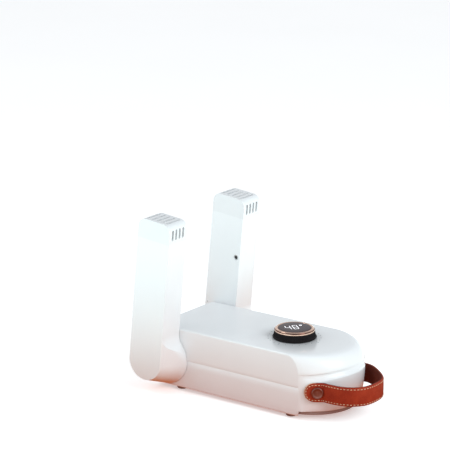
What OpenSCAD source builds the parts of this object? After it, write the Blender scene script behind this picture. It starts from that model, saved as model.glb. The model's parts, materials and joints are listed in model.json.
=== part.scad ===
// Folding boot dryer: a warm-air base with a temperature dial, two swing-up hollow arms and a leather strap.
// Millimetres. X runs from the mains inlet to the strap, Z is up, the feet stand on Z = 0.

/* [Body] */
// Width across the flat sides
body_w = 104; // [100:1:112]
// Length of the flat sides
side_l = 193; // [185:1:200]
// How far the nose stands ahead of the flat sides
nose_l = 41.5; // [40:0.5:43]
// Height of the casing without its feet
body_h = 68; // [66:1:72]
// Height of the feet
foot_h = 4; // [3:0.5:5]
// Wall thickness of the casing
wall = 2.5; // [2:0.1:3]
// Height of the parting line above the casing's lower edge
seam_h = 32; // [28:1:34]
// Height of the hood's lip above the casing's lower edge
lip_h = 46; // [45:1:47]
// How much higher the hood's lip is at the tip of the nose
lip_rise = 7; // [5:1:8]
// How far back the hood starts to roll down
hood_l = 19; // [14:1:22]

/* [Nose plan] */
// Radius of the nose's front arc
front_r = 54; // [53:1:60]
// Half angle of the front arc
front_a = 10; // [8:1:12]

/* [Arms] */
// Height of the pivots above the casing's lower edge
pivot_h = 31; // [30:1:33]
// Distance of the pivots behind the front end of the flat sides
pivot_back = 178; // [170:1:180]
// Radius of the round foot of each arm
drum_r = 29; // [28:0.5:30]
// Front to back size of an arm
bar_w = 43; // [40:1:44]
// Thickness of an arm
arm_t = 31; // [28:1:32]
// Length of an arm above its pivot
arm_l = 165; // [150:1:175]
// Forward lean of the open arms
lean = 5.5; // [3:0.5:8]
// Thickness of an arm's outer cover
cover_t = 3; // [2.5:0.5:4]

/* [Dial] */
// Distance of the dial behind the front end of the flat sides
dial_back = 41; // [38:1:44]
// Radius of the dial at its foot
dial_r = 24.3; // [23:0.1:25]
// Height of the dial above the casing
dial_h = 11.2; // [10:0.1:12]
// Travel of the display when it is pressed
press = 1.2; // [0.8:0.1:1.5]

/* [Strap] */
// Width of the leather strap
strap_w = 21; // [18:1:23]
// Thickness of the leather
strap_t = 1.8; // [1.4:0.1:2]
// Thickness of the lining
lining_t = 1; // [0.8:0.1:1.2]
// Height of the strap's middle above the casing's lower edge
strap_h = 29.5; // [28:0.5:31]
// How far the strap stands ahead of its rivets
strap_l = 49; // [47:1:52]

/* [Hidden] */
$fn = 64;

right = -1;
left = 1;
slack = 0.1;
eps = 0.01;

half_w = body_w / 2;

// The nose in plan: one front arc, and two tighter cheek arcs that meet the flat sides at a soft corner.
// joint is where the arcs meet, and cheek_dx the cheek's centre, both from the front end of the flat sides.
joint_x = nose_l - front_r + front_r * cos(front_a);
joint_y = half_w - front_r * sin(front_a);
cheek_r = (joint_x ^ 2 + joint_y ^ 2) / (2 * (joint_x * cos(front_a) - joint_y * sin(front_a)));
cheek_dx = joint_x - cheek_r * cos(front_a);
cheek_cy = half_w - joint_y - cheek_r * sin(front_a);
cheek_a = 90 + asin(cheek_dx / cheek_r);

// Strap against the cheeks, and its reach ahead of the flat sides
rivet_a = 54.5;
strap_seat = cheek_r + 0.15;
strap_reach = cheek_dx + strap_seat * cos(rivet_a) + strap_l + lining_t + strap_t;

// Front end of the flat sides: the dryer, from the arms' drums to the strap, is centred on X = 0
corner_x = (pivot_back + drum_r - strap_reach) / 2;
front_cx = corner_x + nose_l - front_r;
cheek_cx = corner_x + cheek_dx;
rear_x = corner_x - side_l;
base_z = foot_h;
top_z = foot_h + body_h;
seam_z = foot_h + seam_h;
lip_z = foot_h + lip_h;
lip_slope = lip_rise / nose_l;
lip_gap = 0.3;
seam_gap = 0.4;
rear_r = 5;
edge_r = 2;

// Bumper under the hood, as height, inset and pull back: its upright fascia, then its shoulder and shallow cove
bumper_bottom = base_z + 6;
fascia = [
    [bumper_bottom, 0.9, 5.4], [base_z + 10, 0.6, 4.2], [base_z + 24, 0.2, 1.7], [base_z + 36, 0.1, 0.3]
];
shoulder = [
    [base_z + 28, 0.17, 1.2], [base_z + 36, 0.1, 0.3], [base_z + 38.5, 0.15, 0.5],
    [base_z + 40.5, 0.4, 1.1], [base_z + 42, 0.8, 1.9], [base_z + 44, 1, 2.3], [lip_z, 1.1, 2.4]
];
plate_z = base_z + 1;
plate_t = 2.5;
plate_in = 3.2;
plate_back = 5;

// Pivots
pivot_x = corner_x - pivot_back;
pivot_z = base_z + pivot_h;
arm_gap = 0.4;
tube_r = 10;
tube_bore = 8;
tube_l = 15.5;
bush_clear = 0.05;
bush_r = 13;
hub_r = 15.5;
hub_l = 13;
bar_front = 15;
bar_mid = bar_front - bar_w / 2;
tongue_z = 2;
blend_r = 20;
blend_z = sqrt((drum_r + blend_r) ^ 2 - (bar_front + blend_r) ^ 2);
drum_t = 2;
arm_wall = 2.5;
outlet_l = 22;
outlet_z = arm_l - outlet_l;
outlet_r = 9;
vent_r = 3.2;
vent_x = 9.8;
vent_z = 96;

// Dial
dial_x = corner_x - dial_back;
trim_t = 3.4;
trim_r = 22.3;
window_r = 18.1;
seat_r = 19.5;
seat_bore = 17;
dial_foot = top_z + 0.4;
trim_z = top_z + dial_h - trim_t;
seat_top = top_z + 5.4;
mark_r = 28.5;

// Strap
strap_z = base_z + strap_h;
strap_b = 40.5;
strap_n = 2.6;
strap_flat = 6.6;
strap_tab = 14.5;
rivet_p = [cheek_cx + strap_seat * cos(rivet_a), cheek_cy + strap_seat * sin(rivet_a)];
strap_dir = [sin(rivet_a), -cos(rivet_a)];

// Base plate: intake grille, screws and feet
grille_l = 56;
grille_w = 48;
grille_t = 2;
grille_x = corner_x - 117;
grille_rows = 9;
grille_pitch = 5.5;
grille_slot = 19;
screw_xs = [rear_x + 26, corner_x - 125, corner_x - 25];
screw_y = half_w - 16;
screw_head_r = 3;
screw_r = 1.4;
screw_l = 12;
screw_cross = 3.6;
foot_xs = [corner_x - 15, pivot_x + 15];
foot_y = half_w - 9.5;
foot_r = 6;
foot_stem_r = 2.5;

// Mains inlet
inlet_z = base_z + 13;
inlet_w = 22;
inlet_h = 12.5;
pin_y = 4.3;
pin_r = 1.2;

// Electronics
board_x = corner_x - 71;
board_l = 78;
board_w = 68;
board_t = 1.6;
board_z = base_z + 16;
post_in = 5;
post_r = 3;
spigot_r = 1.5;
coil = [22, 20, 16];
coil_at = [14, -26, board_t];
coil_cap = [14, 14, 2];

// Fan and heater, blowing to the rear along X
fan_z = base_z + 34;
fan_s = 54;
fan_t = 18;
fan_x = corner_x - 147;
heater_x = corner_x - 167;
heater_s = 50;
duct_front = corner_x - 168;
duct_rear = pivot_x - tube_r - 0.5;
duct_h = 22;

// ---- Plan outlines ----

function arc(cx, cy, r, a0, a1, n) = [
    for (i = [0:n]) [cx + r * cos(a0 + (a1 - a0) * i / n), cy + r * sin(a0 + (a1 - a0) * i / n)]
];

// Left half of the casing in plan, set in by "inset" all round and with its nose pulled back by "back"
function half_plan(inset, back) = concat(
    arc(front_cx - back, 0, front_r - inset, 0, front_a, 2),
    arc(cheek_cx - back, cheek_cy, cheek_r - inset, front_a + 5, cheek_a, 13),
    arc(rear_x + rear_r, half_w - rear_r, max(rear_r - inset, 0.5), 90, 180, 4)
);

function plan(inset, back) =
    let (p = half_plan(inset, back), n = len(p))
    concat(p, [for (i = [n - 1:-1:1]) [p[i].x, -p[i].y]]);

// Closed solid through a stack of plans, each given as [height, inset, back]
module loft(levels) {
    m = len(plan(0, 0));
    k = len(levels);
    points = [for (v = levels) for (p = plan(v[1], v[2])) [p.x, p.y, v[0]]];
    sides = [
        for (j = [0:k - 2]) for (i = [0:m - 1])
            let (a = j * m + i, b = j * m + (i + 1) % m)
            [a, a + m, b + m, b]
    ];
    polyhedron(points, concat([[for (i = [0:m - 1]) i]], sides, [[for (i = [m - 1:-1:0]) (k - 1) * m + i]]));
}

// Levels of the hood, from the lip to the top, for a skin that lies "t" inside the outer one
function hood_levels(t) = [
    for (a = [0:10:90])
        let (z = lip_z + (top_z - t - lip_z) * sin(a), d = z - (top_z - t - edge_r))
        [z, t + (d > 0 ? edge_r - sqrt(edge_r ^ 2 - min(d, edge_r) ^ 2) : 0), hood_l * (1 - cos(a))]
];

module ahead_of_corner() {
    translate([corner_x, -body_w, 0]) cube([body_w, 2 * body_w, top_z]);
}

// Room ahead of the flat sides that ends "gap" below the plane of the sloping lip
module under_lip(gap) {
    far = 2 * nose_l;
    translate([0, body_w, 0]) rotate([90, 0, 0]) linear_extrude(2 * body_w) polygon([
        [corner_x, 0], [corner_x, lip_z - gap],
        [corner_x + far, lip_z - gap + far * lip_slope], [corner_x + far, 0]
    ]);
}

// Slopes a piece up towards the tip of the nose, as the lip slopes
module along_lip() {
    multmatrix([[1, 0, 0, 0], [0, 1, 0, 0], [lip_slope, 0, 1, -corner_x * lip_slope], [0, 0, 0, 1]]) children();
}

// ---- Casing ----

module upper_shell() {
    color("#eef2f4") difference() {
        loft(concat([[seam_z + seam_gap / 2, 0, 0]], hood_levels(0)));
        loft(concat([[seam_z - 1, wall, 0]], hood_levels(wall)));
        under_lip(0);
        translate([dial_x, 0, top_z - 2 * wall]) cylinder(r = seat_r + slack, h = 4 * wall);
        pivot_holes();
    }
}

module lower_shell() {
    color("#e9ecee") difference() {
        union() {
            difference() {
                translate([0, 0, base_z]) linear_extrude(seam_h - seam_gap / 2) polygon(plan(0, 0));
                translate([0, 0, base_z - 1]) linear_extrude(seam_h + 2) polygon(plan(wall, 0));
            }
            // Tongue that locates the upper shell, open where the pivot tubes are flanged
            difference() {
                translate([0, 0, seam_z - 3]) linear_extrude(6) difference() {
                    polygon(plan(wall - eps, 0));
                    polygon(plan(wall + 1.5, 0));
                }
                translate([0, 0, seam_z]) linear_extrude(4) difference() {
                    polygon(plan(wall - 1, 0));
                    polygon(plan(wall + slack, 0));
                }
                translate([pivot_x, 0, pivot_z])
                    cube([2 * tube_r + 8, 2 * (half_w - wall), 2 * tube_r + 8], center = true);
            }
            // Ledge that carries the base plate
            translate([0, 0, base_z + 6.6]) linear_extrude(2) difference() {
                polygon(plan(wall - eps, 0));
                polygon(plan(wall + 4, 0));
            }
        }
        ahead_of_corner();
        pivot_holes();
        translate([rear_x - 1, 0, inlet_z]) rotate([0, 90, 0]) inlet_plan(3 * wall, 0.1);
    }
}

module pivot_holes() {
    translate([pivot_x, body_w, pivot_z]) rotate([90, 0, 0]) cylinder(r = tube_r + slack, h = 2 * body_w);
}

// Skin between a stack of levels and the same stack set in by the wall, open above and below
module band(levels) {
    last = len(levels) - 1;
    difference() {
        loft(levels);
        loft([for (i = [0:last]) levels[i] + [i == 0 ? -1 : i == last ? 1 : 0, wall, 0]]);
    }
}

module front_bumper() {
    color("#f1f4f6") difference() {
        intersection() {
            union() {
                band(fascia);
                along_lip() band(shoulder);
            }
            under_lip(lip_gap);
        }
        translate([corner_x + eps - 2 * side_l, -body_w, 0]) cube([2 * side_l, 2 * body_w, 2 * top_z]);
        strap_holes();
    }
}

module base_plate() {
    color("#8f7f7a") difference() {
        translate([0, 0, plate_z]) linear_extrude(bumper_bottom - slack - plate_z) polygon(plan(plate_in, plate_back));
        translate([0, 0, plate_z + plate_t]) linear_extrude(10) polygon(plan(plate_in + 2, plate_back));
        translate([grille_x, -grille_w / 2, 0]) cube([grille_l, grille_w, 20]);
        for (p = screw_places()) translate([p.x, p.y, 0]) cylinder(r = screw_head_r + slack, h = 20);
        for (p = foot_places()) translate([p.x, p.y, 0]) cylinder(r = foot_stem_r + eps, h = 20);
    }
}

module intake_grille() {
    color("#5c5453") translate([grille_x + slack, -grille_w / 2 + slack, plate_z + 0.3]) difference() {
        cube([grille_l - 2 * slack, grille_w - 2 * slack, grille_t]);
        for (i = [0:grille_rows - 1]) for (j = [0:1])
            translate([4.5 + i * grille_pitch, 3.5 + j * (grille_slot + wall), -1]) cube([2.6, grille_slot, 4]);
    }
}

function screw_places() = [for (x = screw_xs) for (s = [right, left]) [x, s * screw_y]];

module base_screws() {
    color("#9a9a9c") for (p = screw_places()) translate([p.x, p.y, plate_z + 0.4]) difference() {
        union() {
            cylinder(r = screw_head_r, h = 2);
            cylinder(r = screw_r, h = screw_l);
        }
        for (a = [0, 90]) rotate([0, 0, a]) translate([-screw_cross / 2, -0.4, -1]) cube([screw_cross, 0.8, 1.8]);
    }
}

function foot_places() = [for (x = foot_xs) for (s = [right, left]) [x, s * foot_y]];

module foot(p) {
    color("#6d5f5b") translate([p.x, p.y, 0]) {
        cylinder(r1 = foot_r - 1, r2 = foot_r, h = 1);
        translate([0, 0, 1]) cylinder(r = foot_r, h = plate_z - 1);
        translate([0, 0, plate_z - eps]) cylinder(r = foot_stem_r, h = plate_t + 1);
    }
}

module foot_front_right() { foot(foot_places()[0]); }
module foot_front_left() { foot(foot_places()[1]); }
module foot_rear_right() { foot(foot_places()[2]); }
module foot_rear_left() { foot(foot_places()[3]); }

// ---- Strap ----

// Left half of the strap's inner face in plan: a flat tab under the rivet, then a rounded loop to the middle
function strap_half() = concat(
    [for (t = [-strap_tab, strap_flat]) rivet_p + t * strap_dir],
    [rivet_p + [9.5, -3.9], rivet_p + [16, -4]],
    [for (a = [68:-8.5:0]) [
        rivet_p.x + strap_l * pow(cos(a), 2 / strap_n),
        strap_b * pow(sin(a), 2 / strap_n)
    ]]
);

function strap_path() = let (h = strap_half(), n = len(h)) concat(h, [for (i = [n - 2:-1:0]) [h[i].x, -h[i].y]]);

function turn(v) = [v.y, -v.x] / norm(v);
function side_step(p, i) = turn(p[min(i + 1, len(p) - 1)] - p[max(i - 1, 0)]);

// Band of the strap between two distances from its inner face
module strap_band(t0, t1) {
    p = strap_path();
    n = len(p);
    translate([0, 0, strap_z - strap_w / 2]) linear_extrude(strap_w) polygon(concat(
        [for (i = [0:n - 1]) p[i] - side_step(p, i) * t0],
        [for (i = [n - 1:-1:0]) p[i] - side_step(p, i) * t1]
    ));
}

// Rounds the strap's ends about its rivets
module strap_ends() {
    for (s = [right, left]) {
        p = rivet_p + (strap_w / 2 - strap_tab) * strap_dir;
        translate([p.x, s * p.y, strap_z]) rotate([0, 0, s * rivet_a]) rotate([0, 90, 0])
            cylinder(r = strap_w / 2, h = 16, center = true);
    }
    translate([rivet_p.x + (strap_w / 2 - strap_tab) * strap_dir.x, -half_w, 0]) cube([body_w, body_w, top_z]);
}

module strap_holes() {
    for (s = [right, left]) translate([rivet_p.x, s * rivet_p.y, strap_z])
        rotate([0, 0, s * rivet_a]) rotate([0, 90, 0]) cylinder(r = 2.05, h = 20, center = true);
}

module leather_strap() {
    color("#a03a20") difference() {
        intersection() {
            strap_band(lining_t, lining_t + strap_t);
            strap_ends();
        }
        strap_holes();
    }
}

module strap_lining() {
    color("#c98f6a") difference() {
        intersection() {
            strap_band(0, lining_t);
            strap_ends();
        }
        strap_holes();
    }
}

module strap_rivet(s) {
    color("#a5736b") translate([rivet_p.x, s * rivet_p.y, strap_z]) rotate([0, 0, s * rivet_a]) rotate([0, 90, 0]) {
        translate([0, 0, lining_t + strap_t]) cylinder(r = 6.4, h = 1.6);
        translate([0, 0, -1.2]) cylinder(r = 2, h = 5);
    }
}

module strap_rivet_right() { strap_rivet(right); }
module strap_rivet_left() { strap_rivet(left); }

// ---- Dial and display ----

module dial_marks() {
    color("#8e979c") for (i = [0:23]) rotate_mark(i * 15, i % 6 == 0 ? 3.4 : 1);
}

module rotate_mark(a, l) {
    translate([dial_x, 0, top_z]) rotate([0, 0, a]) translate([mark_r, -0.4, 0]) cube([l, 0.8, 0.12]);
}

module dial_seat() {
    color("#d9dcde") translate([dial_x, 0, 0]) difference() {
        union() {
            translate([0, 0, top_z - wall - 1.5]) cylinder(r = seat_r, h = seat_top - top_z + wall + 1.5);
            translate([0, 0, top_z - wall - 1.6]) cylinder(r = seat_r + 2.5, h = 1.5);
        }
        translate([0, 0, top_z - 10]) cylinder(r = seat_bore, h = 30);
    }
}

module dial_skirt() {
    color("#241f22") translate([dial_x, 0, 0]) difference() {
        union() {
            translate([0, 0, dial_foot]) cylinder(r1 = dial_r, r2 = dial_r - 0.9, h = 2);
            translate([0, 0, dial_foot + 2]) cylinder(r1 = dial_r - 0.9, r2 = trim_r + 0.2, h = trim_z - dial_foot - 2);
        }
        translate([0, 0, top_z - 1]) cylinder(r = seat_r + bush_clear, h = 30);
    }
}

module dial_trim() {
    color("#d9a58c") translate([dial_x, 0, trim_z]) difference() {
        union() {
            cylinder(r = trim_r - 0.3, h = 1);
            translate([0, 0, 1]) cylinder(r = trim_r, h = trim_t - 2);
            translate([0, 0, trim_t - 1]) cylinder(r1 = trim_r, r2 = trim_r - 1, h = 1);
        }
        translate([0, 0, -1]) cylinder(r = window_r + 0.3, h = 10);
    }
}

module display_window() {
    color("#3a2a30") translate([dial_x, 0, trim_z + 0.2]) {
        cylinder(r = window_r, h = trim_t - 0.6);
        translate([0, 0, trim_t - 0.6]) cylinder(r1 = window_r, r2 = window_r - 0.8, h = 0.4);
    }
}

module display_holder() {
    color("#2b2b2e") translate([dial_x, 0, 0]) {
        translate([0, 0, top_z + 2]) cylinder(r = seat_bore - bush_clear, h = trim_z + 0.2 - top_z - 2);
        translate([0, 0, top_z - 8]) cylinder(r = 3, h = 10.1);
    }
}

module push_switch() {
    color("#44474a") translate([dial_x, 0, top_z - 8 - press - 0.4]) {
        translate([0, 0, -1.5]) cylinder(r = 1.7, h = 1.5);
        translate([-3, -3, -5]) cube([6, 6, 3.6]);
    }
}

module dial_encoder() {
    color("#2f6a46") translate([dial_x, 0, top_z - 16.2]) difference() {
        cylinder(r = 26, h = 1.6);
        for (a = [45:90:315]) rotate([0, 0, a]) translate([22, 0, -1]) cylinder(r = 1.6, h = 4);
    }
}

// ---- Electronics ----

module main_board() {
    color("#2f6a46") translate([board_x, -board_w / 2, board_z]) difference() {
        cube([board_l, board_w, board_t]);
        for (p = post_places()) translate([p.x, p.y + board_w / 2, -1]) cylinder(r = spigot_r + slack, h = 4);
    }
}

function post_places() = [for (x = [post_in, board_l - post_in]) for (s = [right, left]) [x, s * (board_w / 2 - post_in)]];

module board_posts() {
    color("#d9dcde") for (p = post_places()) translate([board_x + p.x, p.y, plate_z + plate_t]) {
        cylinder(r = post_r, h = board_z - plate_z - plate_t);
        cylinder(r = spigot_r, h = board_z - plate_z - plate_t + 3);
    }
}

module power_transformer() {
    color("#c8b45a") translate([board_x, 0, board_z] + coil_at) {
        cube(coil);
        translate([(coil.x - coil_cap.x) / 2, (coil.y - coil_cap.y) / 2, coil.z]) cube(coil_cap);
    }
}

// ---- Fan, heater and duct ----

module fan_housing() {
    color("#3b3e42") difference() {
        translate([fan_x, -fan_s / 2, fan_z - fan_s / 2]) cube([fan_t, fan_s, fan_s]);
        translate([fan_x - 1, 0, fan_z]) rotate([0, 90, 0]) cylinder(r = fan_s / 2 - 2, h = fan_t - 2);
        difference() {
            translate([fan_x, 0, fan_z]) rotate([0, 90, 0]) cylinder(r = fan_s / 2 - 2, h = fan_t + 1);
            translate([fan_x, 0, fan_z]) rotate([0, 90, 0]) cylinder(r = 11, h = fan_t);
            for (a = [0:90:270]) translate([fan_x, 0, fan_z]) rotate([a, 0, 0])
                translate([fan_t - 3, -1.5, 0]) cube([3, 3, fan_s / 2]);
        }
    }
}

module fan_motor() {
    color("#b9bcc0") translate([fan_x, 0, fan_z]) rotate([0, 90, 0]) {
        translate([0, 0, fan_t - 8]) cylinder(r = 9, h = 5);
        translate([0, 0, 3]) cylinder(r = 1.5, h = fan_t - 8);
    }
}

module fan_wheel() {
    color("#55595e") translate([fan_x + 2, 0, fan_z]) rotate([0, 90, 0]) difference() {
        union() {
            cylinder(r = 9, h = 6.5);
            for (a = [0:45:315]) rotate([0, 0, a]) translate([8.5, 0, 3.2])
                rotate([35, 0, 0]) translate([0, -4.4, -0.6]) cube([15, 8.8, 1.2]);
        }
        translate([0, 0, -1]) cylinder(r = 1.5 + bush_clear, h = 10);
    }
}

module heater_frame() {
    color("#c9b79a") difference() {
        translate([heater_x, -heater_s / 2, fan_z - heater_s / 2]) cube([16, heater_s, heater_s]);
        translate([heater_x - 1, -heater_s / 2 + 3, fan_z - heater_s / 2 + 3])
            cube([18, heater_s - 6, heater_s - 6]);
    }
}

module heater_fins() {
    color("#c3c7ca") translate([heater_x + 2, -heater_s / 2 + 3.2, fan_z]) {
        for (i = [0:10]) translate([0, 0, -21 + i * 4]) cube([12, heater_s - 6.4, 0.8]);
        for (y = [6, heater_s - 14]) translate([0, y, -21]) cube([12, 2.4, 40.8]);
    }
}

module air_duct() {
    y = half_w - wall - 3.6;
    color("#8c8f92") difference() {
        union() {
            translate([duct_rear, -y, pivot_z - duct_h / 2]) cube([duct_front - duct_rear, 2 * y, duct_h]);
            translate([duct_front - 2, -heater_s / 2, fan_z - heater_s / 2]) cube([2.8, heater_s, heater_s]);
        }
        translate([duct_rear + 1.5, -y + 1.5, pivot_z - duct_h / 2 + 1.5])
            cube([duct_front - duct_rear - 3, 2 * y - 3, duct_h - 3]);
        translate([duct_front - 4, -20, pivot_z - 9]) cube([10, 40, 18]);
        translate([pivot_x, body_w, pivot_z]) rotate([90, 0, 0]) cylinder(r = tube_bore, h = 2 * body_w);
    }
}

// Racetrack opening of the two-pin inlet, drawn around the X axis once it is turned
module inlet_plan(depth, grow) {
    r = inlet_h / 2 + grow;
    linear_extrude(depth) {
        for (s = [right, left]) translate([0, s * (inlet_w - inlet_h) / 2]) circle(r = r);
        square([2 * r, inlet_w - inlet_h], center = true);
    }
}

module mains_inlet() {
    color("#26272a") difference() {
        translate([rear_x - 0.6, 0, inlet_z]) rotate([0, 90, 0]) inlet_plan(17, 0);
        translate([rear_x - 1.6, 0, inlet_z]) rotate([0, 90, 0]) inlet_plan(13, -2);
        for (s = [right, left]) translate([rear_x, s * pin_y, inlet_z]) rotate([0, 90, 0]) cylinder(r = pin_r, h = 20);
    }
}

module inlet_pins() {
    color("#c9ccd0") for (s = [right, left]) translate([rear_x + 3, s * pin_y, inlet_z])
        rotate([0, 90, 0]) cylinder(r = pin_r, h = 18);
}

// ---- Pivots: fixed hollow tubes that the arms turn on and the air passes through ----

// Puts a piece drawn outward along +Y from the casing's side onto the right or the left side
module on_side(s) {
    translate([pivot_x, s * (half_w + arm_gap), pivot_z]) mirror([0, s < 0 ? 1 : 0, 0]) children();
}

module along_y(y0, y1) {
    translate([0, y1, 0]) rotate([90, 0, 0]) linear_extrude(y1 - y0) children();
}

module pivot_tube(s) {
    color("#b9bcc0") on_side(s) difference() {
        union() {
            along_y(-arm_gap - wall - 3.5, tube_l) circle(r = tube_r);
            along_y(-arm_gap - wall - 1.7, -arm_gap - wall - 0.05)
                translate([0.2 - tube_r, -tube_r - 1.5]) square([2 * tube_r + 3, 2 * tube_r + 3]);
        }
        along_y(-20, 40) circle(r = tube_bore);
    }
}

module pivot_clip(s) {
    color("#c9ccd0") on_side(s) difference() {
        along_y(hub_l + 0.4, hub_l + 1.6) circle(r = tube_r + 2);
        along_y(0, 40) circle(r = tube_r);
    }
}

module pivot_tube_right() { pivot_tube(right); }
module pivot_tube_left() { pivot_tube(left); }
module pivot_clip_right() { pivot_clip(right); }
module pivot_clip_left() { pivot_clip(left); }

// ---- Arms ----

module on_arm(s) {
    on_side(s) rotate([0, lean, 0]) children();
}

// Outer face of an arm: a straight bar with a round lower end
module tongue_plan(inset, top) {
    translate([bar_mid - bar_w / 2 + inset, tongue_z]) square([bar_w - 2 * inset, top - tongue_z]);
    translate([bar_mid, tongue_z]) circle(r = bar_w / 2 - inset);
}

// Inner face of an arm: the bar flows into the larger drum with a hollow curve
module drum_plan() {
    circle(r = drum_r);
    difference() {
        polygon([[0, 0], [bar_front + blend_r, blend_z], [0, blend_z]]);
        translate([bar_front + blend_r, blend_z]) circle(r = blend_r);
    }
}

// Whole arm below its outlet: a bar with a round lower end outside, which slants out to the larger drum inside
module arm_body() {
    along_y(0, arm_t) tongue_plan(0, outlet_z);
    intersection() {
        along_y(0, arm_t) drum_plan();
        hull() {
            along_y(0, drum_t) drum_plan($fn = 48);
            along_y(arm_t - slack, arm_t) tongue_plan(0, blend_z, $fn = 48);
        }
    }
}

module arm_slab(y0, y1) {
    translate([-body_w / 2, y0, -body_w / 2]) cube([body_w, y1 - y0, body_w + arm_l]);
}

module arm_housing(s) {
    color("#eceff2") on_arm(s) difference() {
        arm_body();
        arm_slab(arm_t - cover_t, arm_t + 1);
        difference() {
            along_y(arm_wall, arm_t) tongue_plan(arm_wall, arm_l);
            along_y(0, hub_l) circle(r = hub_r);
        }
        along_y(-1, arm_t) circle(r = bush_r);
        translate([vent_x, -1, vent_z]) rotate([-90, 0, 0]) cylinder(r = vent_r, h = 6);
    }
}

module arm_cover(s) {
    color("#f1f3f5") on_arm(s) {
        difference() {
            arm_body();
            arm_slab(-1, arm_t - cover_t);
        }
        along_y(arm_t - cover_t - 2, arm_t - cover_t + eps) difference() {
            tongue_plan(arm_wall + slack, outlet_z);
            tongue_plan(arm_wall + 1.5, outlet_z - 3);
        }
    }
}

module arm_outlet(s) {
    color("#dde1e4") on_arm(s) difference() {
        along_y(0, arm_t) outlet_plan(0);
        along_y(arm_wall, arm_t - arm_wall) outlet_plan(arm_wall);
        for (i = [0:3]) translate([bar_front - 12, 5 + i * 6, outlet_z + 4]) cube([20, 3, 12]);
        for (i = [0:4]) translate([bar_mid - 14.5 + i * 6.5, 4, arm_l - 8]) cube([3, arm_t - 8, 20]);
    }
}

module outlet_plan(inset) {
    x0 = bar_mid - bar_w / 2 + inset;
    r = outlet_r - inset;
    low = outlet_z - (inset > 0 ? 1 : 0);
    translate([x0, low]) square([bar_w - 2 * inset, arm_l - outlet_r - low]);
    translate([x0 + r, low]) square([bar_w - 2 * inset - 2 * r, arm_l - inset - low]);
    for (x = [x0 + r, x0 + bar_w - 2 * inset - r]) translate([x, arm_l - inset - r]) circle(r = r);
}

module arm_vent(s) {
    color("#c9cdd0") on_arm(s) difference() {
        translate([vent_x, 0, vent_z]) rotate([-90, 0, 0]) cylinder(r = vent_r, h = 4);
        translate([vent_x, -1, vent_z]) rotate([-90, 0, 0]) cylinder(r = vent_r - 0.9, h = 8);
    }
}

module arm_bush(s) {
    color("#d8d2c4") on_arm(s) difference() {
        along_y(0.3, hub_l) circle(r = bush_r);
        along_y(-1, hub_l + 1) circle(r = tube_r + bush_clear);
    }
}

module arm_housing_right() { arm_housing(right); }
module arm_cover_right() { arm_cover(right); }
module arm_outlet_right() { arm_outlet(right); }
module arm_vent_right() { arm_vent(right); }
module arm_bush_right() { arm_bush(right); }
module arm_housing_left() { arm_housing(left); }
module arm_cover_left() { arm_cover(left); }
module arm_outlet_left() { arm_outlet(left); }
module arm_vent_left() { arm_vent(left); }
module arm_bush_left() { arm_bush(left); }

upper_shell();
lower_shell();
front_bumper();
base_plate();
intake_grille();
base_screws();
foot_front_right();
foot_front_left();
foot_rear_right();
foot_rear_left();
leather_strap();
strap_lining();
strap_rivet_right();
strap_rivet_left();
dial_marks();
dial_seat();
dial_skirt();
dial_trim();
display_window();
display_holder();
push_switch();
dial_encoder();
main_board();
power_transformer();
board_posts();
fan_housing();
fan_motor();
fan_wheel();
heater_frame();
heater_fins();
air_duct();
mains_inlet();
inlet_pins();
pivot_tube_right();
pivot_tube_left();
pivot_clip_right();
pivot_clip_left();
arm_housing_right();
arm_cover_right();
arm_outlet_right();
arm_vent_right();
arm_bush_right();
arm_housing_left();
arm_cover_left();
arm_outlet_left();
arm_vent_left();
arm_bush_left();
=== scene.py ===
"""Looks of a folding boot dryer: white casing, two hollow arms, a temperature dial and a leather strap.

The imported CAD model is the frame. Metres, X forward to the strap, Z up, the feet on Z = 0.
"""

import json
import math
from contextlib import contextmanager

import bmesh
import bpy
from mathutils import Matrix, Vector


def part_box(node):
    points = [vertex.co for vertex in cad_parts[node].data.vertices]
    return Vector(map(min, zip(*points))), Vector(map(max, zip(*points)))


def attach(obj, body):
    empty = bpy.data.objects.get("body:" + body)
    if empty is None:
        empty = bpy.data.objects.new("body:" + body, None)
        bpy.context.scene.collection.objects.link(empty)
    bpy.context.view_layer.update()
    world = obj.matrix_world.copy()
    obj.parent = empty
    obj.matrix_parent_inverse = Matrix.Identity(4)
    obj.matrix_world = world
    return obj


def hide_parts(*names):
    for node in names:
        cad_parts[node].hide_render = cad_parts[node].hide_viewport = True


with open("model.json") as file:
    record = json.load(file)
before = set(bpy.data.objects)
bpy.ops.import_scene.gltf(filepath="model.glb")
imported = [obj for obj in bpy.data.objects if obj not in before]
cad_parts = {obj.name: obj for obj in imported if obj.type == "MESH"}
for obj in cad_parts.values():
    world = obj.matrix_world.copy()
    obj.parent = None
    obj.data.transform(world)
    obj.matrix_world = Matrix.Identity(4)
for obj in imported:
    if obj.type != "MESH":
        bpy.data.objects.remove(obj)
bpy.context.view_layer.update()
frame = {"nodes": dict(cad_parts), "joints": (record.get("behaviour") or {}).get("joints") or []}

MM = 0.001
RIGHT, LEFT = -1, 1
SIDES = {RIGHT: "right", LEFT: "left"}

# ---- Places and sizes taken from the frame ----

shell_low, shell_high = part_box("upper_shell")
rim_low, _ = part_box("lower_shell")
REAR_X = shell_low.x
NOSE_X = shell_high.x
HALF_W = shell_high.y
TOP_Z = shell_high.z
BASE_Z = rim_low.z
SEAM_HIGH = shell_low.z
SEAM_LOW = SEAM_HIGH - 0.03 * MM
CORNER_X = REAR_X + 193 * MM

joint = {j["name"]: j for j in frame["joints"]}
PIVOT = Vector(joint["left_arm_fold"]["pos_m"])
DIAL = Vector(joint["dial_turn"]["pos_m"])

# ---- Driving shapes of the casing, as in the CAD model ----
# In plan: a front arc, a cheek arc on each side, and a small crease arc where it meets the flat side.

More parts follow.
